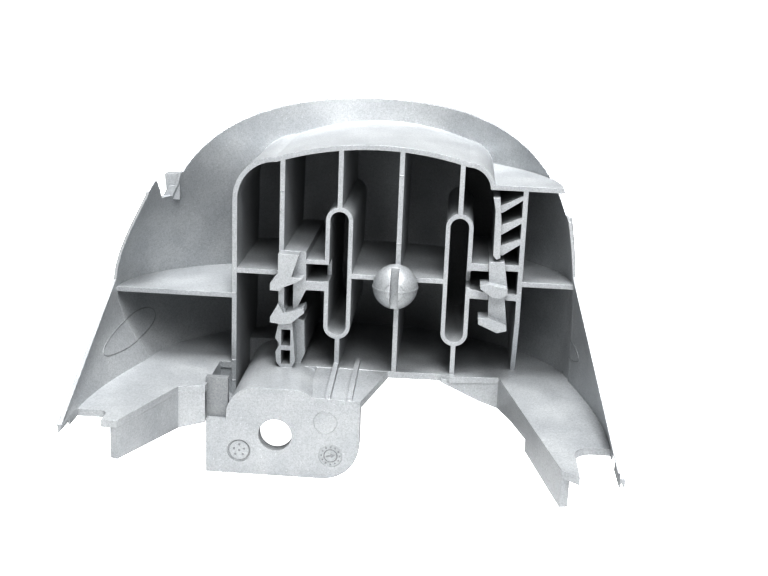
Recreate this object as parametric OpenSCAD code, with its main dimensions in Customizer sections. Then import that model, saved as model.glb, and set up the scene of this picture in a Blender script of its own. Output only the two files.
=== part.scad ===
// Steering wheel trim panel: one injection moulding, seen from its ribbed back.
// Built in the mould's draw frame: X to the right, Y up from the floor's top face,
// Z along the draw towards the open, ribbed side, with Z = 0 on the ribs' front edges.
// The last transform turns the draw frame upright and puts the screw hole at the origin.

/* [Shell] */
// Half width of the shell at the floor, at the ribs' front plane
floor_half = 47; // [42:0.5:54]
// Widest reach of the left side, above the left wing rib
left_reach = 55.2; // [50:0.2:60]
// Height of the left shoulder above the floor
shoulder_h = 37.2; // [32:0.2:40]
// Half width of the right side, at the wall at the top right
right_half = 42.6; // [39:0.2:46]
// Height of the crown's rim at its middle, at the very back
crown_h = 55.8; // [53:0.2:62]
// Depth of the bowl behind the ribs' front plane, where it is shallowest
bowl_depth = 31.5; // [26:0.5:40]
// How much deeper the bowl gets for each millimetre above and below that height
bowl_lean = 0.2; // [0:0.02:0.4]
// Wall of the shell
wall = 1.8; // [1.2:0.1:3]
// Wall of the lip that runs along the shell's rim
rim_t = 0.6; // [0.5:0.1:1.2]
// Thickness of the floor
floor_t = 1.5; // [1:0.1:3]

/* [Legs] */
// Length of the left leg in front of the ribs' front plane
left_leg = 44; // [36:0.5:52]
// Length of the right leg in front of the ribs' front plane
right_leg = 53; // [44:0.5:60]
// How far the left leg spreads from the floor's half width to its tip
left_spread = 6.4; // [0:0.2:9]
// How far the right leg spreads from the floor's half width to its tip
right_spread = 5.2; // [0:0.2:9]
// Height of the left leg's wall where it leaves the shell
left_root = 17.8; // [12:0.2:20]
// Height of the right leg's wall where it leaves the shell
right_root = 24; // [20.5:0.2:28]
// Wall of the legs' sides at their tips
tip_wall = 1; // [0.8:0.1:2]
// Thickness of the skirts
skirt_t = 1.6; // [1:0.1:3]

/* [Rib block] */
// Thickness of every rib at its front edge
rib_t = 1.1; // [0.8:0.1:2]
// Left wall of the block
block_left = -28.1; // [-34:0.1:-24]
// Right wall of the block
block_right = 34.7; // [30:0.1:40]
// Height of the block's top wall at its middle
block_top = 50.1; // [46:0.1:52]
// Radius of the block's top wall
block_top_r = 70; // [50:1:120]
// Height of the rib across the middle
mid_rib_h = 21.4; // [16:0.1:26]
// Height of the left wing rib
left_wing_h = 15.6; // [10:0.1:20]
// Height of the wall at the top right
top_right_h = 42.8; // [38:0.1:46]
// Left cell rib
rib_a = -17.7; // [-20:0.1:-15]
// Middle rib, with the ball stud on it
rib_c = 8; // [6:0.1:10]

/* [Slot tubes] */
// Axis of the left slot tube
slot_left = -5.1; // [-7:0.1:-3]
// Axis of the right slot tube
slot_right = 21; // [18:0.1:23]
// Width of a slot
slot_w = 4; // [3:0.1:6]
// Lower end of a slot tube
slot_low = 6.8; // [4:0.1:12]
// Upper end of a slot tube
slot_high = 36.7; // [28:0.1:40]

/* [Ball stud] */
// Radius of the ball
ball_r = 4.95; // [3:0.05:7]
// Height of the ball's centre
ball_h = 20.1; // [16:0.1:26]
// How far the ball's centre stands in front of the ribs
ball_out = 1.5; // [0:0.1:4]
// Width of the slot down the ball
ball_slot = 1.75; // [1:0.05:3]

/* [Screw plate] */
// Radius of the screw hole
hole_r = 3.6; // [2:0.1:5]
// Sideways place of the screw hole
hole_x = -16.2; // [-18:0.1:-14]
// Depth of the screw hole below the floor
hole_drop = 10.6; // [9:0.1:13]
// Front face of the plate in front of the ribs
plate_z = 15.5; // [12:0.1:20]
// Thickness of the plate
plate_t = 2.5; // [1.5:0.1:4]
// Left edge of the plate
plate_left = -31.2; // [-34:0.1:-28]
// Right edge of the plate
plate_right = 2; // [0:0.1:5]
// Depth of the plate's bottom edge below the floor
plate_drop = 20; // [16:0.1:24]
// Round at the plate's lower right corner
plate_corner = 8; // [4:0.1:10]
// Radius of the tunnel's shoulders
tunnel_r = 6.5; // [4:0.1:8]
// Left flank of the tunnel
tunnel_left = -26.9; // [-28:0.1:-25]
// Right flank of the tunnel
tunnel_right = -6.1; // [-8:0.1:-5]
// Depth of the ledge beside the tunnel below the floor
ledge_drop = 7.7; // [6:0.1:9]
// Slope of the floor beside the tunnel, at the plate
floor_dip = 1.8; // [0:0.1:3]

/* [Hidden] */
$fn = 48;
silver = [0.72, 0.73, 0.75];
lip = 6;
lip_up = 3;
waist_h = 16;
mark_r = 2.55;
mark_deep = 0.2;
top_x = 3;
crown_z = -(bowl_depth + bowl_lean * (crown_h - waist_h));
far = wall + 5 - crown_z;
ledge_z = -0.5;
trough_back = -18;
plate_back = plate_z - plate_t;
corner_l = 9;
corner_r = 5.5;
top_right_x = 27.7;

function cubic(a, b, c, d, t) =
    a * pow(1 - t, 3) + 3 * b * t * pow(1 - t, 2) + 3 * c * t * t * (1 - t) + d * pow(t, 3);

// Left side of the shell's inside at the ribs' front plane, as height and reach.
left_side = [for (t = [0 : 0.0625 : 1])
    cubic([0, floor_half], [14, left_reach + 3.8], [21, left_reach + 0.3],
          [shoulder_h, floor_half + 0.2], t)];

// Reach of the shell's inside to one side at height y, at the ribs' front plane.
function reach(side, y) =
    side > 0 ? floor_half - (floor_half - right_half) * pow(max(y, 0) / top_right_h, 2.6)
    : y < shoulder_h ? lookup(y, left_side)
    : floor_half + 0.2 - (y - shoulder_h) / 4;

// Heights at which the shell's plan is drawn: up both legs' roots, the shoulder, the crown.
heights = concat(
    [for (i = [0 : 4]) left_root * i / 4],
    [for (i = [1 : 2]) left_root + (right_root - left_root) * i / 2],
    [for (i = [1 : 4]) right_root + (shoulder_h - right_root) * i / 4],
    [for (i = [1 : 6]) shoulder_h + (crown_h + 4 - shoulder_h) * i / 6]
);

// Point of one side's outline at the i-th height, and the outward direction there.
function edge(side, i) = [side * reach(side, heights[i]), heights[i]];
function outward(side, i) =
    let (d = edge(side, i + 1) - edge(side, max(i - 1, 0)))
    side * [d[1], -d[0]] / norm(d);

// Sideways reach of a leg's floor at distance z in front of the ribs, left negative.
function leg_x(side, z) = side * (floor_half
    + (side < 0 ? left_spread : right_spread) * sin(90 * min(max(z, 0) / 34, 1)));

// A closed solid through rings of points, each ring with the same count. The ends are one
// face each or, for a wall whose ring goes out and comes back, a strip of triangles.
module rings(r, wall_ends = false) {
    n = len(r[0]);
    m = len(r);
    end = wall_ends
        ? [for (i = [0 : n / 2 - 2])
            for (f = [[i, i + 1, n - 2 - i], [i, n - 2 - i, n - 1 - i]]) f]
        : [[for (i = [0 : n - 1]) i]];
    polyhedron(
        points = [for (ring = r) for (p = ring) p],
        faces = concat(
            end,
            [for (j = [0 : m - 2]) for (i = [0 : n - 1]) let (k = (i + 1) % n)
                for (f = [[j * n + i, (j + 1) * n + i, (j + 1) * n + k],
                          [j * n + i, (j + 1) * n + k, j * n + k]]) f],
            [for (f = end) [for (k = [len(f) - 1 : -1 : 0]) (m - 1) * n + f[k]]]
        )
    );
}

// Plan of the bowl at height y, grown by g: from its right end round the back to its left
// one. It is blunter at the floor and starts at the plane z.
function bowl_ring(y, g, z) =
    let (h = max(y, 0), d = bowl_depth + bowl_lean * abs(h - waist_h) + g,
         n = min(1.75 + h / 48, 2), right = reach(1, h) + g, left = reach(-1, h) + g,
         start = pow(1 - pow(max(-z, 0) / d, n), 1 / n), first = z < 0 ? 15 : 5)
    concat(
        [[right * start, y, z]],
        [for (a = [first : 5 : 180 - first])
            [(a < 90 ? right : -left) * pow(abs(cos(a)), 2 / n), y, -d * pow(sin(a), 2 / n)]],
        [[-left * start, y, z]]
    );

module bowl(g, z, low) {
    rings(concat([if (low < 0) bowl_ring(low, g, z)], [for (h = heights) bowl_ring(h, g, z)]));
}

// What the shell's rim is cut off with, d above it. The rim climbs from the shoulder on the
// left and from below the wall at the top right to the crown at the very back.
module above_rim(d) {
    sky = [[-far, crown_h], [-far, 2 * crown_h], [2, 2 * crown_h]];
    back = [crown_z, crown_h];
    translate([0, d, 0]) side(-2 * floor_half, top_x) polygon(concat(
        [[2, shoulder_h + 0.7], [0, shoulder_h + 0.7], [-3, shoulder_h + 2.4]],
        [for (t = [0 : 0.1 : 1]) cubic([-14.3, shoulder_h + 2.9], [-17.5, shoulder_h + 8.8],
            [0.7 * crown_z, crown_h - 3.4], back, t)],
        sky));
    translate([0, d, 0]) side(top_x, 2 * floor_half) polygon(concat(
        [[2, top_right_h - 6.7], [0, top_right_h - 6.7], [-4, top_right_h - 6]],
        [for (t = [0 : 0.1 : 1]) cubic([-8.3, top_right_h - 1.6], [-16, top_right_h + 4.7],
            [0.66 * crown_z, crown_h - 2.8], back, t)],
        sky));
}

// Bowl with a thin lip along its rim.
module shell() {
    difference() {
        union() {
            difference() {
                bowl(wall, -lip, -floor_t);
                above_rim(-lip_up);
            }
            difference() {
                bowl(rim_t, 0, -floor_t);
                above_rim(0);
            }
        }
        bowl(0, 1, 0);
    }
}

// Side wall of a leg. It is rooted in the bowl's lip, starts on the bowl's own outline, as
// high as the height of number top, and runs out to a low, thin tip.
module leg_wall(side, top, length) {
    up = [for (i = [0 : top]) i];
    down = [for (i = [top : -1 : 0]) i];
    function at(i, outer, z) =
        let (f = max(z, 0) / length, p = edge(side, i), u = p[1] / heights[top],
             foot = leg_x(side, z) - (1 - f) * side * floor_half - f * leg_x(side, length),
             q = (outer ? rim_t + (tip_wall - rim_t) * f : 0) * outward(side, i))
        [(1 - f) * p[0] + f * leg_x(side, length) + foot * (1 - u) + q[0],
         outer && i == 0 ? -floor_t : (p[1] + q[1]) * (1 - f), z];
    function root(i, outer) =
        let (p = edge(side, i) + rim_t * (outer ? 0.75 : 0.35) * outward(side, i))
        [p[0], i == 0 ? (outer ? -0.6 : -0.35) * floor_t : p[1], -1.5];
    rings(concat(
        [concat([for (i = up) root(i, side > 0)], [for (i = down) root(i, side < 0)])],
        [for (s = [0 : 8]) let (z = s / 8 * length * 0.98)
            concat([for (i = up) at(i, side > 0, z)], [for (i = down) at(i, side < 0, z)])]
    ), wall_ends = true);
}

// A drawing of the plan (X, Z) filled from height y0 up to y1.
module lay(y0, y1) {
    translate([0, y1, 0]) rotate([90, 0, 0]) linear_extrude(y1 - y0) children();
}

// A drawing of the side view (Z to the right, Y up) filled from x0 to x1.
module side(x0, x1) {
    translate([x1, 0, 0]) rotate([0, -90, 0]) linear_extrude(x1 - x0) children();
}

// Box between two corners.
module box(a, b) {
    translate(a) cube(b - a);
}

// Plan of the floor in front of the ribs' front plane, with the opening between the legs.
module floor_plan() {
    left_z = left_leg - 5.6;
    right_z = right_leg - 1.6;
    polygon(concat(
        [for (z = [-3, 0, 5, 10, 15, 20, 25, 30, left_z]) [leg_x(-1, z) - rim_t / 2, z]],
        [[-44, left_z], [-36.7, plate_z + 2.1], [plate_left, plate_z + 0.8],
         [plate_left, ledge_z], [block_left, ledge_z], [block_left, -3],
         [tunnel_right - 3, -3], [tunnel_right - 3, -0.8], [6.8, 0.3], [17.7, 0], [20.7, 1.4],
         [31.5, 0.2], [42, right_z - 2.6], [45.1, right_z]],
        [for (z = [right_z, 45, 40, 35, 30, 25, 20, 15, 10, 5, 0, -3])
            [leg_x(1, z) + rim_t / 2, z]]
    ));
}

// Rounded notch in a leg's front edge, from x0 to x1, with its inner corner round at x0.
module foot_notch(x0, x1, z, r) {
    s = sign(x1 - x0);
    lay(-floor_t - 1, 1) {
        translate([x0 + s * r, z + r]) circle(r);
        translate([min(x0, x1), z + r]) square([abs(x1 - x0), 40]);
        translate([min(x0 + s * r, x1), z]) square([abs(x1 - x0) - r, 40]);
    }
}

// Skirt below the floor's edge from a to b of the plan, a hair inside that edge. Its lower
// edge is a list of pairs, distance and height. It may run a little past its corners.
module skirt(a, b, low, before, after) {
    d = b - a;
    length = norm(d);
    translate([a[0], 0, a[1]]) rotate([0, -atan2(d[1], d[0]), 0])
        translate([0, 0, -skirt_t]) linear_extrude(skirt_t - 0.04) polygon(concat(
            [[-before, -floor_t / 2], [-before, low[0][1]]], low,
            [[length + after, low[len(low) - 1][1]], [length + after, -floor_t / 2]]));
}

module skirts() {
    skirt([-44, left_leg - 5.6], [-36.7, plate_z + 2.1], [[0, -8.1], [22, -9.4]], 0, 0);
    skirt([-36.7, plate_z + 2.1], [plate_left, plate_z + 0.8],
        [[0, -9.4], [5.6, -8.3]], skirt_t, 0);
    skirt([18.7, 1.2], [31.5, 0.2], [[0, -floor_t], [8.7, -5.7], [12.8, -7.2]], 0, skirt_t);
    skirt([31.5, 0.2], [42, right_leg - 4.2],
        [[0, -7.2], [11.8, -5.5], [24.3, -4.5], [24.4, -7], [45, -7.3]], 0, 0);
}

// Front view of the tunnel under the screw plate, drawn in by g on its three sides.
module tunnel(g) {
    r = tunnel_r - g;
    x0 = tunnel_left + g;
    x1 = tunnel_right - g;
    polygon(concat(
        [[x0, -ledge_drop - floor_t - 1]],
        [for (a = [180 : -10 : 90]) [x0 + r + r * cos(a), -tunnel_r + r * sin(a)]],
        [for (a = [90 : -10 : 0]) [x1 - r + r * cos(a), -tunnel_r + r * sin(a)]],
        [[x1, -ledge_drop - floor_t - 1]]
    ));
}

// Sunk floor with the tunnel that leads to the screw plate.
module trough() {
    low = -ledge_drop - floor_t;
    inner = block_left + rib_t / 2;
    difference() {
        union() {
            box([plate_left - wall, low, ledge_z - wall], [tunnel_right, 0, plate_back]);
            box([block_left - rib_t / 2, low, trough_back - wall], [tunnel_right, 0, 0]);
        }
        difference() {
            union() {
                box([plate_left, -ledge_drop, ledge_z], [tunnel_right + 1, 1, plate_z]);
                box([inner, -ledge_drop, trough_back], [tunnel_right + 1, 1, 0]);
            }
            translate([0, 0, trough_back - 1]) linear_extrude(plate_z - trough_back) tunnel(0);
            box([block_left - rib_t / 2, low, trough_back], [inner, 0, 0]);
        }
        translate([0, 0, trough_back]) linear_extrude(plate_z - trough_back) tunnel(wall);
    }
}

// Front view of the screw plate.
module plate_shape() {
    c = plate_corner;
    polygon(concat(
        [[plate_left, -plate_drop], [plate_left, -ledge_drop], [tunnel_left, -ledge_drop]],
        [for (a = [180 : -10 : 90])
            [tunnel_left + tunnel_r * (1 + cos(a)), tunnel_r * (sin(a) - 1)]],
        [for (a = [90 : -10 : 50])
            [tunnel_right - tunnel_r * (1 - cos(a)), tunnel_r * (sin(a) - 1)]],
        [[plate_right - 1, -floor_dip], [plate_right, -floor_dip - 1]],
        [for (a = [0 : -10 : -90])
            [plate_right - c + c * cos(a), -plate_drop + c + c * sin(a)]]
    ));
}

module screw_plate() {
    difference() {
        translate([0, 0, plate_back]) linear_extrude(plate_t) plate_shape();
        translate([hole_x, -hole_drop, plate_back - 1]) cylinder(r = hole_r, h = plate_t + 2);
        for (x = [plate_left + 7.2, plate_right - 6.1])
            translate([x, 5.3 - plate_drop, plate_z - mark_deep]) cylinder(r = mark_r, h = 1);
    }
}

// Sloping floor beside the tunnel, with its two low ribs.
module apron() {
    intersection() {
        side(tunnel_right - 3.2, 8) polygon([[-1, -floor_t], [-1, 0],
            [plate_z - 0.1, -floor_dip], [plate_z - 0.1, -floor_dip - floor_t]]);
        lay(-5, 1) polygon([[tunnel_right - 3.2, -1], [tunnel_right - 3.2, plate_z],
            [plate_right, plate_z], [6.8, 0.3], [6.8, -1]]);
    }
    side(slot_left - 0.45, slot_left + 0.65)
        polygon([[-1, -1], [-1, 1.3], [1, 1], [plate_z - 0.1, -floor_dip + 0.9],
            [plate_z - 0.1, -floor_dip - 0.5]]);
    side(plate_right - 2.9, plate_right - 1.8)
        polygon([[-8, -1], [-5, 0.8], [1, 0.9], [plate_z - 0.1, -floor_dip + 0.9],
            [plate_z - 0.1, -floor_dip - 0.5]]);
}

// Front views of the ribs.
function top_y(x) = block_top - block_top_r + sqrt(block_top_r * block_top_r - (x - top_x) * (x - top_x));

module upright(x, y0, y1) {
    translate([x - rib_t / 2, y0]) square([rib_t, y1 - y0]);
}

module level(y, x0, x1) {
    translate([x0, y - rib_t / 2]) square([x1 - x0, rib_t]);
}

module stadium(x, y0, y1, w) {
    translate([x, y0 + w / 2]) circle(d = w);
    translate([x, y1 - w / 2]) circle(d = w);
    translate([x - w / 2, y0 + w / 2]) square([w, y1 - y0 - w]);
}

module arc_band(x, y, r, size, at) {
    intersection() {
        translate([x, y]) difference() {
            circle(r + rib_t / 2, $fn = 96);
            circle(r - rib_t / 2, $fn = 96);
        }
        translate(at) square(size);
    }
}

module rib_lines() {
    left_cx = block_left + corner_l;
    right_cx = top_right_x - corner_r;
    difference() {
        union() {
            upright(block_left, -1, top_y(left_cx) - corner_l);
            upright(rib_a, -1, top_y(rib_a));
            upright(slot_left, slot_high - 1, top_y(slot_left));
            upright(slot_left + 0.2, -1, slot_low + 1);
            upright(rib_c, -1, top_y(rib_c));
            upright(slot_right, slot_high - 1, top_y(slot_right));
            upright(slot_right, -1, slot_low + 1);
            upright(block_right, -1, top_right_h);
            arc_band(top_x, block_top - block_top_r, block_top_r,
                [right_cx - left_cx, 20], [left_cx, block_top - 10]);
            arc_band(left_cx, top_y(left_cx) - corner_l, corner_l,
                [corner_l + 1, corner_l + 1], [block_left - 1, top_y(left_cx) - corner_l]);
            arc_band(right_cx, top_y(right_cx) - corner_r, corner_r,
                [corner_r + 1, corner_r + 1], [right_cx, top_right_h - 0.5]);
            level(top_right_h, top_right_x - 0.5, floor_half + 2);
            level(mid_rib_h, block_left, rib_a);
            level(mid_rib_h, slot_left + slot_w / 2, slot_right - slot_w / 2);
            level(mid_rib_h + 0.3, block_right, floor_half + 4);
            level(left_wing_h, -left_reach - 4, block_left);
            stadium(slot_left, slot_low, slot_high, slot_w + 2);
            stadium(slot_right, slot_low - 0.1, slot_high - 0.1, slot_w + 2);
        }
        stadium(slot_left, slot_low + 1, slot_high - 1, slot_w);
        stadium(slot_right, slot_low + 0.9, slot_high - 1.1, slot_w);
    }
}

module ribs() {
    difference() {
        translate([0, 0, -far]) linear_extrude(far) rib_lines();
        box([slot_left - slot_w / 2 - 2, 19.9, -6], [slot_left - slot_w / 2 + 1, 23.7, 1]);
        box([slot_right + slot_w / 2 - 1, 20.3, -6], [slot_right + slot_w / 2 + 2, 24, 1]);
        side(block_right - 2, block_right + 2) polygon([[1, 12.5], [0, 12.5], [-6.5, -2], [1, -2]]);
    }
}

// Snap tower between the left cell rib and the left slot tube, drawn from back forwards.
module left_tower(back) {
    translate([0, 0, back]) {
        linear_extrude(-back) polygon([[-18.2, 26.6], [-12.2, 26.4], [-12.1, 17.7],
            [-13.4, 14.9], [-14, 13.4], [-15, 13.4], [-15, 21], [-18.2, 21]]);
        linear_extrude(1.6 - back) difference() {
            polygon([[-18.1, 22], [-16.7, 22], [-16.7, 14], [-14.8, 10.6], [-14, 1.5],
                [-14.9, -0.2], [-17.1, -0.3], [-18.3, 1.2], [-18.5, 3.6], [-17.6, 5.3],
                [-18.6, 6.8], [-17.9, 10.4]]);
            translate([-17.2, 5.1]) square([2, 3.7]);
            translate([-17.2, 0.7]) square([2, 3.3]);
        }
        linear_extrude(max(-back - 3, 0.5)) polygon([[-15.3, 11], [-12.6, 10], [-12.3, 2.3],
            [-13.4, -0.5], [-15.3, -0.5]]);
        linear_extrude(-back) {
            translate([-12.4, 17.7]) square([5, 2.1]);
            translate([-12.4, 23.7]) square([4.6, 1]);
        }
    }
    translate([0, 0, -2]) linear_extrude(5) {
        polygon([[-18, 26.4], [-13.4, 26.4], [-15, 21.3], [-12.5, 21], [-14.1, 20],
            [-16.7, 18.9], [-17.6, 18], [-19.7, 18.1], [-19.7, 19.7], [-18, 22.1]]);
        polygon([[-17.9, 15.2], [-16.6, 13], [-12.2, 14.4], [-12, 13.3], [-14.8, 10.8],
            [-16.8, 10.4], [-19.6, 10.7], [-19.6, 12], [-18.3, 14.3]]);
    }
}

// Snap tower between the right slot tube and the right wall, drawn from back forwards.
module right_tower(back) {
    translate([0, 0, back]) {
        linear_extrude(-back) {
            polygon([[23.4, 25.9], [28, 25.8], [28, 24.2], [23.4, 24.2]]);
            polygon([[30.8, 25.9], [34.8, 25.9], [34.8, 24.5], [30.8, 24.5]]);
            polygon([[23.1, 20.1], [28.4, 19.4], [28.4, 17.8], [23.1, 17.9]]);
            polygon([[31, 19.4], [35, 19.2], [35, 17.8], [31, 17.9]]);
        }
        linear_extrude(1 - back) polygon([[27.7, 26.6], [31.1, 26.8], [32, 21.3],
            [31.6, 18.6], [32.4, 12.5], [28.2, 13.5], [28, 21.5]]);
    }
    translate([0, 0, -2]) linear_extrude(5) {
        polygon([[26, 21.9], [27.9, 22.1], [32, 21.4], [32.1, 20], [30.5, 19], [28.8, 19.2],
            [26.1, 21]]);
        polygon([[26, 14.4], [28.2, 14.5], [32.3, 13], [32.4, 11.8], [30.3, 11.2],
            [26.1, 13]]);
    }
}

// Comb of three fins between an upright and the right wall of the block.
module comb(back) {
    translate([0, 0, back]) {
        linear_extrude(1 - back) polygon([[27.8, 40.7], [29.3, 40.8], [29.8, 36], [30.1, 27.6],
            [29.3, 27.2], [28.5, 28], [28.4, 38]]);
        linear_extrude(-back) {
            polygon([[28.6, 38.4], [34.4, 41.4], [34.4, 40.4], [30, 37.4], [28.8, 37.2]]);
            polygon([[29.6, 34.6], [34.4, 36.6], [34.4, 35.4], [30.2, 32.6], [29.6, 32.6]]);
            polygon([[29.6, 30], [34.4, 31.9], [34.4, 30.7], [30.6, 28], [29.6, 28]]);
        }
    }
}

// Slotted ball that stands on the middle rib.
module ball_stud() {
    translate([rib_c - 0.35, ball_h, ball_out]) difference() {
        union() {
            sphere(r = ball_r, $fn = 64);
            rotate([90, 0, 0]) translate([0, 0, -0.2]) cylinder(r = ball_r + 0.12, h = 0.4, $fn = 64);
        }
        box([-ball_slot / 2, -2 * ball_r, ball_r * 0.35], [ball_slot / 2, 2 * ball_r, 2 * ball_r]);
    }
}

// Slanted notch through the rim at the left shoulder, and the stop behind it.
module shoulder_notch() {
    side(-left_reach, -40) polygon([[-2.7, shoulder_h + 3.8], [-9.7, shoulder_h - 2.5],
        [-13, shoulder_h - 2.5], [-13.7, shoulder_h + 3.8]]);
}

module shoulder_stop() {
    translate([0, 0, -17]) linear_extrude(3.3) polygon([[-46.3, shoulder_h - 3.5],
        [-43.4, shoulder_h - 3.5], [-43.4, shoulder_h + 2.5], [-46.9, shoulder_h + 2.3]]);
}

// Ribs, towers and comb, as far back as the shell's wall.
module block() {
    intersection() {
        union() {
            ribs();
            left_tower(-far);
            right_tower(-far);
            comb(-far);
        }
        bowl(rim_t / 2, 1, -floor_t / 2);
    }
    left_tower(-2.5);
    right_tower(-2.5);
    comb(-2.5);
    ball_stud();
}

module trim_panel() {
    color(silver) difference() {
        union() {
            difference() {
                union() {
                    shell();
                    lay(-floor_t, 0) floor_plan();
                }
                box([block_left + rib_t / 2, -floor_t - 1, trough_back],
                    [tunnel_right - tunnel_r, 1, 1]);
            }
            block();
            shoulder_stop();
            leg_wall(-1, 4, left_leg);
            leg_wall(1, 6, right_leg);
            skirts();
            trough();
            apron();
            screw_plate();
        }
        foot_notch(-47.2, leg_x(-1, left_leg), 33.5, 1.8);
        foot_notch(45.1, leg_x(1, right_leg), 37, 4);
        shoulder_notch();
    }
}

translate([-hole_x, plate_z, hole_drop]) rotate([90, 0, 0]) trim_panel();
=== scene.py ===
"""Looks of the steering wheel trim panel: one silver plastic moulding, seen from its ribs.

Model frame, metres: X across, Y along the mould's draw away from the camera, Z up, with the
origin at the centre of the screw hole on the plate's front face.
"""

import itertools
import math

import bpy
from mathutils import Matrix, Vector
from mathutils.bvhtree import BVHTree


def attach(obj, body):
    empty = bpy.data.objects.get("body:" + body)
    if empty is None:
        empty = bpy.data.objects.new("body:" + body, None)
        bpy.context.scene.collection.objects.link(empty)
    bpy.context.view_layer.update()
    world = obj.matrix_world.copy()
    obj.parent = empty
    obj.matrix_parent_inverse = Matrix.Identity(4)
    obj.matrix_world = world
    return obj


MM = 0.001
TAU = 2 * math.pi

# Camera, worked out from the ribs, the plate and the legs in the photograph.
CAMERA_AT = Vector((0.0362, -0.2402, 0.1016))
CAMERA_RIGHT = Vector((0.99689, 0.06880, 0.03853))
CAMERA_UP = Vector((-0.05560, 0.26688, 0.96212))
LENS = 56.73
SENSOR = 36.0

FLOOR_Z = -9.5 * MM
FLOOR_HALF = 6.0

# Lights: name, elevation, azimuth (to the right of straight in front), distance, size, power.
LIGHTS = [
    ("top", 80, -8, 0.45, 0.12, 1.8),
    ("back_top", 82, -150, 0.32, 0.12, 0.8),
    ("key", 52, 10, 0.45, 0.16, 1.25),
    ("right", 52, 50, 0.45, 0.12, 0.6),
    ("side", 32, 24, 0.45, 0.14, 0.4),
    ("low", 12, -20, 0.45, 0.20, 0.2),
]
AIM = Vector((15, 5, 30)) * MM

# Background: how bright it looks, how much it lights the panel, and the picture's contrast.
SKY_SEEN = 1.4
SKY_LIGHT = 0.16
FLOOR_GLOW = 1.3
CONTRAST = 1.43

# Silver plastic: its two cloud tones, and the scales of clouds, flakes and grain.
METALLIC = 0.35
SPECULAR = 0.5
TONE_DARK = Vector((0.43, 0.445, 0.46))
TONE_LIGHT = Vector((0.50, 0.515, 0.525))
# Painted shade: how much darker the shaded copy of the silver is, for the marks' grooves and the
# ledge wall in shadow.
PAINTED_SHADE = 0.72
CLOUD_SCALE = 140
FLAKE_SCALE = 4200
GRAIN_SCALE = 2600
GRAIN_STRENGTH = 0.22
GRAIN_DEPTH = 0.03 * MM
EDGE_RADIUS = 0.16 * MM

# Smooth shading: points this close are one, and faces that turn by more keep a sharp edge.
WELD = 2e-6
SHARP_TURN = math.radians(28)

# Marks, in millimetres: where the rays start, and how deep beads and dots sit in the panel.
RAY_START = -120
BEAD_SINK = 0.03
DOT_SINK = 0.02
DOT_ROWS = 4

# Places of the marks as (x, z) in millimetres, seen along the draw.
LEFT_DISC = (-7.8, -4.1)
RIGHT_DISC = (12.1, -4.1)
PLATE_PIN = (10.8, 3.5)
LEFT_WING_PIN = (-35.0, 16.8)
RIGHT_WING_PIN = (61.9, 18.0)
RIGHT_WING_DOT = (62.2, 11.0)
BALL = (23.85, 30.5)
RIB_NICKS = [(-11.9, 26.7), (-11.9, 11.0), (-11.9, 6.2), (-1.5, 50.3), (-1.5, 45.6),
             (24.2, 54.9), (24.2, 39.9)]
RIB_PADS = [((-1.95, 46.0), (-1.05, 50.0), 0.08), ((15.6, 31.65), (17.2, 32.35), 0.1)]
LEFT_DISC_DOTS = [(-1.1, 0.4), (1.1, 0.4), (-0.8, -0.9), (0.8, -0.9), (0, 1.3), (0, 0)]
DIAL_DOTS = 12
DIAL_RADIUS = 1.98
ARROW = [(-1.0, -0.16), (0.1, -0.16), (0.1, -0.5), (1.05, 0), (0.1, 0.5), (0.1, 0.16),
         (-1.0, 0.16)]
ARROW_TURN = math.radians(14)
NICK_HALF = 0.5

# Ledge wall between the left skirt and the plate: its two corners.
LEDGE_LOW = Vector((-15.3, 1.4, 2.4)) * MM
LEDGE_HIGH = Vector((-10.5, 2.9, 11.9)) * MM


def node(tree, kind, **sockets):
    """A shader node; each named socket takes its value."""
    made = tree.nodes.new(kind)
    for name, value in sockets.items():
        made.inputs[name].default_value = value
    return made


def link(tree, a, out, b, into):
    tree.links.new(a.outputs[out], b.inputs[into])


def ramp(tree, source, out, stops):
    """A colour ramp over grey values: stops are (place, value) pairs."""
    made = tree.nodes.new("ShaderNodeValToRGB")
    points = made.color_ramp.elements
    while len(points) > len(stops):
        points.remove(points[-1])
    while len(points) < len(stops):
        points.new(1.0)
    for point, (place, value) in zip(points, stops):
        point.position = place
        point.color = (*value, 1) if isinstance(value, tuple) else (value, value, value, 1)
    link(tree, source, out, made, "Fac")
    return made


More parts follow.
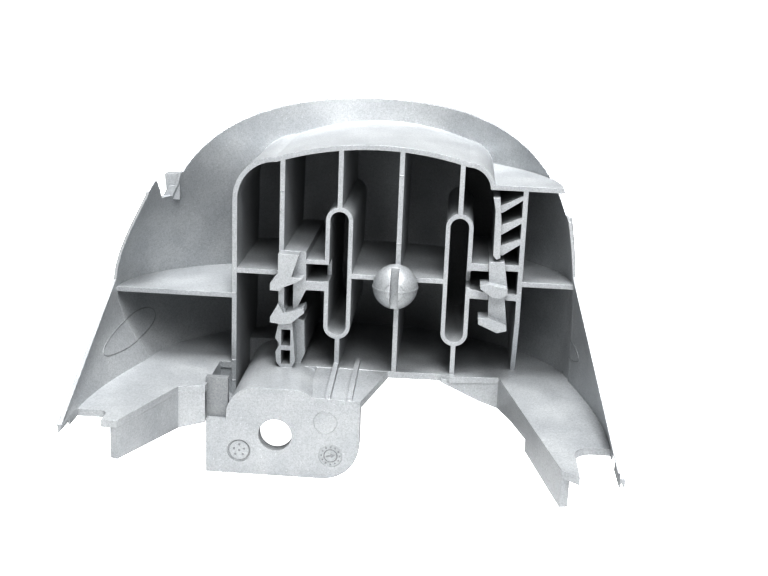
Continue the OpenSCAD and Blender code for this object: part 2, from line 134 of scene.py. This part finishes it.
def silver_plastic(name, shade):
    """Satin silver plastic with metal flakes moulded in, fine grain and softened edges; shade
    scales its tones, and below 1 it makes a darker copy that is painted shade.
    """
    made = bpy.data.materials.new(name)
    made.use_nodes = True
    tree = made.node_tree
    tree.nodes.clear()
    out = node(tree, "ShaderNodeOutputMaterial")
    shader = node(tree, "ShaderNodeBsdfPrincipled", Metallic=METALLIC)
    shader.inputs["Specular IOR Level"].default_value = SPECULAR
    place = node(tree, "ShaderNodeTexCoord")

    flakes = node(tree, "ShaderNodeTexVoronoi", Scale=FLAKE_SCALE)
    link(tree, place, "Object", flakes, "Vector")
    flake_tone = ramp(tree, flakes, "Color", [(0.0, 0.80), (0.55, 0.96), (0.9, 1.02), (1.0, 1.25)])

    cloud = node(tree, "ShaderNodeTexNoise", Scale=CLOUD_SCALE, Detail=5)
    link(tree, place, "Object", cloud, "Vector")
    dark, light = TONE_DARK * shade, TONE_LIGHT * shade
    cloud_tone = ramp(tree, cloud, "Fac", [(0.3, tuple(dark)), (0.7, tuple(light))])

    tint = tree.nodes.new("ShaderNodeMix")
    tint.data_type = "RGBA"
    tint.blend_type = "MULTIPLY"
    tint.inputs["Factor"].default_value = 1
    link(tree, cloud_tone, "Color", tint, "A")
    link(tree, flake_tone, "Color", tint, "B")
    link(tree, tint, "Result", shader, "Base Color")

    gloss = ramp(tree, cloud, "Fac", [(0.25, 0.40), (0.75, 0.50)])
    link(tree, gloss, "Color", shader, "Roughness")

    edge = node(tree, "ShaderNodeBevel", Radius=EDGE_RADIUS)
    edge.samples = 4
    grain = node(tree, "ShaderNodeTexNoise", Scale=GRAIN_SCALE, Detail=3)
    link(tree, place, "Object", grain, "Vector")
    bump = node(tree, "ShaderNodeBump", Strength=GRAIN_STRENGTH, Distance=GRAIN_DEPTH)
    link(tree, grain, "Fac", bump, "Height")
    link(tree, edge, "Normal", bump, "Normal")
    link(tree, bump, "Normal", shader, "Normal")
    link(tree, shader, "BSDF", out, "Surface")
    return made


def floor_paper():
    """Matt white paper that glows for the camera alone."""
    made = bpy.data.materials.new("pale_paper")
    made.use_nodes = True
    tree = made.node_tree
    shader = tree.nodes["Principled BSDF"]
    shader.inputs["Base Color"].default_value = (0.8, 0.8, 0.8, 1)
    shader.inputs["Roughness"].default_value = 0.9
    shader.inputs["Emission Color"].default_value = (1, 1, 1, 1)
    rays = tree.nodes.new("ShaderNodeLightPath")
    glow = tree.nodes.new("ShaderNodeMix")
    glow.inputs["A"].default_value = 0
    glow.inputs["B"].default_value = FLOOR_GLOW
    tree.links.new(rays.outputs["Is Camera Ray"], glow.inputs["Factor"])
    tree.links.new(glow.outputs["Result"], shader.inputs["Emission Strength"])
    return made


def smooth_faces(obj):
    """Rounded shading over the facets of curved walls, sharp past SHARP_TURN."""
    group = bpy.data.node_groups.new("smooth_by_angle", "GeometryNodeTree")
    group.interface.new_socket("Geometry", in_out="INPUT", socket_type="NodeSocketGeometry")
    group.interface.new_socket("Geometry", in_out="OUTPUT", socket_type="NodeSocketGeometry")
    first = group.nodes.new("NodeGroupInput")
    weld = group.nodes.new("GeometryNodeMergeByDistance")
    weld.inputs["Distance"].default_value = WELD
    soft = group.nodes.new("GeometryNodeSetShadeSmooth")
    soft.domain = "FACE"
    soft.inputs["Shade Smooth"].default_value = True
    turn = group.nodes.new("GeometryNodeInputMeshEdgeAngle")
    test = group.nodes.new("FunctionNodeCompare")
    test.data_type = "FLOAT"
    test.operation = "GREATER_THAN"
    test.inputs["B"].default_value = SHARP_TURN
    sharp = group.nodes.new("GeometryNodeSetShadeSmooth")
    sharp.domain = "EDGE"
    sharp.inputs["Shade Smooth"].default_value = False
    end = group.nodes.new("NodeGroupOutput")
    group.links.new(first.outputs[0], weld.inputs["Geometry"])
    group.links.new(weld.outputs["Geometry"], soft.inputs["Geometry"])
    group.links.new(turn.outputs["Unsigned Angle"], test.inputs["A"])
    group.links.new(test.outputs["Result"], sharp.inputs["Selection"])
    group.links.new(soft.outputs["Geometry"], sharp.inputs["Geometry"])
    group.links.new(sharp.outputs["Geometry"], end.inputs[0])
    obj.modifiers.new("smooth_by_angle", "NODES").node_group = group
    even = obj.modifiers.new("even_normals", "WEIGHTED_NORMAL")
    even.weight = 100
    even.keep_sharp = True


class Marks:
    """Small raised marks that lie on the panel, gathered into one piece."""

    def __init__(self, name, surface):
        self.name = name
        self.surface = surface
        self.points = []
        self.faces = []

    def on(self, x, z):
        """Point and normal of the panel seen along the draw at x, z in millimetres."""
        start = Vector((x, RAY_START, z)) * MM
        at, normal, _, _ = self.surface.ray_cast(start, Vector((0, 1, 0)))
        return at, (normal if normal.y < 0 else -normal)

    def bead(self, path, width, height, closed):
        """A low rounded bead along a list of (x, z), as seen along the draw."""
        placed = [self.on(x, z) for x, z in path]
        count, first = len(placed), len(self.points)
        for i, (at, up) in enumerate(placed):
            before = placed[i - 1][0] if closed or i > 0 else at
            after = placed[(i + 1) % count][0] if closed or i < count - 1 else at
            side = (after - before).cross(up).normalized() * width * MM / 2
            low, high = -BEAD_SINK * MM * up, height * MM * up
            self.points += [at - side + low, at - side * 0.5 + high, at + side * 0.5 + high,
                            at + side + low]
        for i in range(count if closed else count - 1):
            a, b = first + 4 * i, first + 4 * ((i + 1) % count)
            self.faces += [(a + k, a + (k + 1) % 4, b + (k + 1) % 4, b + k) for k in range(4)]
        if not closed:
            b = first + 4 * (count - 1)
            self.faces += [(first + 3, first + 2, first + 1, first), (b, b + 1, b + 2, b + 3)]

    def ring(self, x, z, radius, width=0.24, height=0.05, steps=56):
        self.bead([(x + radius * math.cos(TAU * i / steps), z + radius * math.sin(TAU * i / steps))
                   for i in range(steps)], width, height, True)

    def arc(self, x, z, radius, start, end, width=0.2, height=0.05, steps=16):
        turns = [math.radians(start + (end - start) * i / steps) for i in range(steps + 1)]
        self.bead([(x + radius * math.cos(t), z + radius * math.sin(t)) for t in turns],
                  width, height, False)

    def dot(self, x, z, radius=0.22, height=0.13, steps=14):
        """A low dome."""
        at, up = self.on(x, z)
        across = up.orthogonal().normalized()
        along = up.cross(across)
        first = len(self.points)
        for k in range(DOT_ROWS):
            lift = math.radians(90 * k / DOT_ROWS)
            for i in range(steps):
                t = TAU * i / steps
                out = (across * math.cos(t) + along * math.sin(t)) * radius * math.cos(lift)
                self.points.append(at + MM * (out + up * (height * math.sin(lift) - DOT_SINK)))
        self.points.append(at + MM * height * up)
        for k in range(DOT_ROWS - 1):
            for i in range(steps):
                a, b = first + k * steps + i, first + k * steps + (i + 1) % steps
                self.faces.append((a, b, b + steps, a + steps))
        top = first + DOT_ROWS * steps
        self.faces += [(top - steps + i, top - steps + (i + 1) % steps, top)
                       for i in range(steps)]

    def pad(self, outline, height):
        """A flat raised patch over a list of (x, z) corners."""
        placed = [self.on(x, z) for x, z in outline]
        count, first = len(placed), len(self.points)
        self.points += [at - BEAD_SINK * MM * up for at, up in placed]
        self.points += [at + height * MM * up for at, up in placed]
        self.faces.append(tuple(first + count + i for i in range(count)))
        self.faces += [(first + i, first + (i + 1) % count, first + count + (i + 1) % count,
                        first + count + i) for i in range(count)]

    def finish(self, material):
        mesh = bpy.data.meshes.new(self.name)
        mesh.from_pydata(self.points, [], self.faces)
        mesh.materials.append(material)
        obj = bpy.data.objects.new(self.name, mesh)
        bpy.context.scene.collection.objects.link(obj)
        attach(obj, "root")


def add_marks(surface, plain_silver, shaded_silver):
    """All marks on the panel: some in its own silver, the others in the darker copy, a little
    darker, as painted shade for their grooves.
    """
    plate = Marks("plate_marks", surface)
    # Left sunken disc: a plain ring with dots, where the material's mark would stand.
    left_x, left_z = LEFT_DISC
    plate.ring(left_x, left_z, 2.25, 0.24, 0.12)
    for x, z in LEFT_DISC_DOTS:
        plate.dot(left_x + x, left_z + z, 0.26)
    # Right sunken disc: a dial of dots round a plain arrow.
    right_x, right_z = RIGHT_DISC
    for i in range(DIAL_DOTS):
        t = TAU * i / DIAL_DOTS
        plate.dot(right_x + DIAL_RADIUS * math.cos(t), right_z + DIAL_RADIUS * math.sin(t), 0.2)
    plate.ring(right_x, right_z, 1.42, 0.22, 0.16)
    c, s = math.cos(ARROW_TURN), math.sin(ARROW_TURN)
    plate.pad([(right_x + x * c - z * s, right_z + x * s + z * c) for x, z in ARROW], 0.12)
    # Painted shade: the plate's marks take the darker copy for the shadow in their grooves.
    plate.finish(shaded_silver)

    # Ejector pins on the left wing's wall and on the right one's.
    pins = Marks("ejector_rings", surface)
    pins.ring(*LEFT_WING_PIN, 2.65, 0.32, 0.1)
    pins.arc(*RIGHT_WING_PIN, 2.4, -62, 62, 0.34, 0.12)
    pins.dot(*RIGHT_WING_DOT, 0.35, 0.12)
    # Painted shade: the ejector rings take the darker copy for the shadow in their grooves.
    pins.finish(shaded_silver)

    # Nicks and pads on the rib fronts, and the ejector pin's ring on the plate.
    nicks = Marks("rib_nicks", surface)
    nicks.ring(*PLATE_PIN, 2.5, 0.3, 0.08)
    for x, z in RIB_NICKS:
        nicks.bead([(x - NICK_HALF, z), (x + NICK_HALF, z)], 0.34, 0.1, False)
    for (x0, z0), (x1, z1), height in RIB_PADS:
        nicks.pad([(x0, z0), (x1, z0), (x1, z1), (x0, z1)], height)
    nicks.finish(plain_silver)

    ball = Marks("ball_arcs", surface)
    for start, end in [(-62, 62), (118, 242)]:
        ball.arc(*BALL, 2.15, start, end, 0.26, 0.1)
    ball.finish(plain_silver)


def add_ledge(material):
    """Short upright wall that closes the step between the left skirt and the plate, in the darker
    copy of the silver as painted shade.
    """
    corners = list(itertools.product(*zip(LEDGE_LOW, LEDGE_HIGH)))
    mesh = bpy.data.meshes.new("ledge_wall")
    mesh.from_pydata(corners, [], [(0, 1, 3, 2), (4, 6, 7, 5), (0, 4, 5, 1), (2, 3, 7, 6),
                                   (0, 2, 6, 4), (1, 5, 7, 3)])
    mesh.materials.append(material)
    obj = bpy.data.objects.new("ledge_wall", mesh)
    bpy.context.scene.collection.objects.link(obj)
    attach(obj, "root")


def add_light(name, elevation, azimuth, distance, size, power):
    """A square area light that faces the aim point."""
    el, az = math.radians(elevation), math.radians(azimuth)
    way = Vector((math.cos(el) * math.sin(az), -math.cos(el) * math.cos(az), math.sin(el)))
    data = bpy.data.lights.new(name, "AREA")
    data.shape = "SQUARE"
    data.size = size
    data.energy = power
    obj = bpy.data.objects.new(name, data)
    bpy.context.scene.collection.objects.link(obj)
    obj.location = AIM + distance * way
    obj.rotation_euler = (-way).to_track_quat("-Z", "Y").to_euler()


def add_camera():
    """The photograph's camera."""
    data = bpy.data.cameras.new("camera")
    data.sensor_width = SENSOR
    data.sensor_fit = "HORIZONTAL"
    data.lens = LENS
    data.clip_start = 0.01
    obj = bpy.data.objects.new("camera", data)
    back = CAMERA_RIGHT.cross(CAMERA_UP).normalized()
    up = back.cross(CAMERA_RIGHT).normalized()
    turn = Matrix((CAMERA_RIGHT.normalized(), up, back)).transposed()
    obj.matrix_world = Matrix.Translation(CAMERA_AT) @ turn.to_4x4()
    bpy.context.scene.collection.objects.link(obj)
    bpy.context.scene.camera = obj


def add_floor():
    """The paper that the panel stands on."""
    mesh = bpy.data.meshes.new("floor")
    h = FLOOR_HALF
    mesh.from_pydata([(-h, -h, FLOOR_Z), (h, -h, FLOOR_Z), (h, h, FLOOR_Z), (-h, h, FLOOR_Z)],
                     [], [(0, 1, 2, 3)])
    mesh.materials.append(floor_paper())
    obj = bpy.data.objects.new("floor", mesh)
    bpy.context.scene.collection.objects.link(obj)


def add_world():
    """A white background that lights the panel only a little."""
    world = bpy.data.worlds.new("studio")
    bpy.context.scene.world = world
    world.use_nodes = True
    tree = world.node_tree
    sky = tree.nodes["Background"]
    sky.inputs["Color"].default_value = (1, 1, 1, 1)
    rays = tree.nodes.new("ShaderNodeLightPath")
    seen = tree.nodes.new("ShaderNodeMix")
    seen.inputs["A"].default_value = SKY_LIGHT
    seen.inputs["B"].default_value = SKY_SEEN
    tree.links.new(rays.outputs["Is Camera Ray"], seen.inputs["Factor"])
    tree.links.new(seen.outputs["Result"], sky.inputs["Strength"])


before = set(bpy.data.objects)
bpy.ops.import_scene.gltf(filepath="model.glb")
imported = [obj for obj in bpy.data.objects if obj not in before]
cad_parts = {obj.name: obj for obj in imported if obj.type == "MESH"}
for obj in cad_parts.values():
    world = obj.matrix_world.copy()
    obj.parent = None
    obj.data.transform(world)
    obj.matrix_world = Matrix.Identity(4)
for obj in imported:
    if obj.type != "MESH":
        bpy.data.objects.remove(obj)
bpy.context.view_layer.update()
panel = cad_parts["trim_panel"]

silver = silver_plastic("silver_plastic", 1.0)
# A darker copy of the silver: painted shade for the grooves of the marks and for the ledge wall in
# shadow.
shaded_silver = silver_plastic("silver_plastic_painted_shade", PAINTED_SHADE)
for slot in panel.material_slots:
    slot.material = silver
bpy.context.view_layer.update()
surface = BVHTree.FromObject(panel, bpy.context.evaluated_depsgraph_get())
smooth_faces(panel)
add_marks(surface, silver, shaded_silver)
add_ledge(shaded_silver)

for light in LIGHTS:
    add_light(*light)
add_floor()
add_world()
add_camera()
view = bpy.context.scene.view_settings
view.view_transform = "Standard"
view.gamma = 1 / CONTRAST
